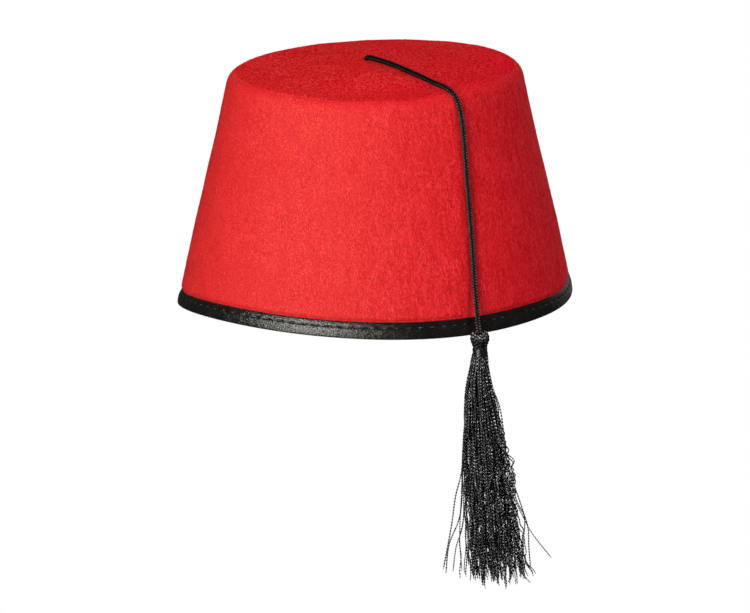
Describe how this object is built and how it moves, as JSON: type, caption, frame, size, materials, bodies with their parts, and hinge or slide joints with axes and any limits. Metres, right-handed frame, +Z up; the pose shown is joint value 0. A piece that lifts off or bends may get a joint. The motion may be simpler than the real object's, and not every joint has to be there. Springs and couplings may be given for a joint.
{
  "type": "fez hat",
  "caption": "Hollow felt fez with a tapered oval crown, a folded dark band on its rim and a tassel that hangs beside it on a free cord.",
  "frame": {"origin": "the middle of the rim's plane, where the head sits in the opening", "axes": "+Z up through the crown; the front is -Y; the oval's long axis is along Y; the tassel hangs on the +X side, the wearer's left"},
  "size_m": [0.2017, 0.1984, 0.2416],
  "materials": {
    "red_felt": "matt pressed felt with short fibres",
    "black_tape": "smooth tape with a soft gloss",
    "black_cord": "fine braid",
    "black_knot": "fine braid",
    "black_yarn": "twisted shiny yarn",
    "black_wrap": "wound thread"
  },
  "bodies": {
    "root": {"crown": "red_felt", "rim_binding": "black_tape", "cord": "black_cord", "cord_knot": "black_knot", "tassel": "black_yarn", "tassel_wrap": "black_wrap"}
  },
  "joints": []
}
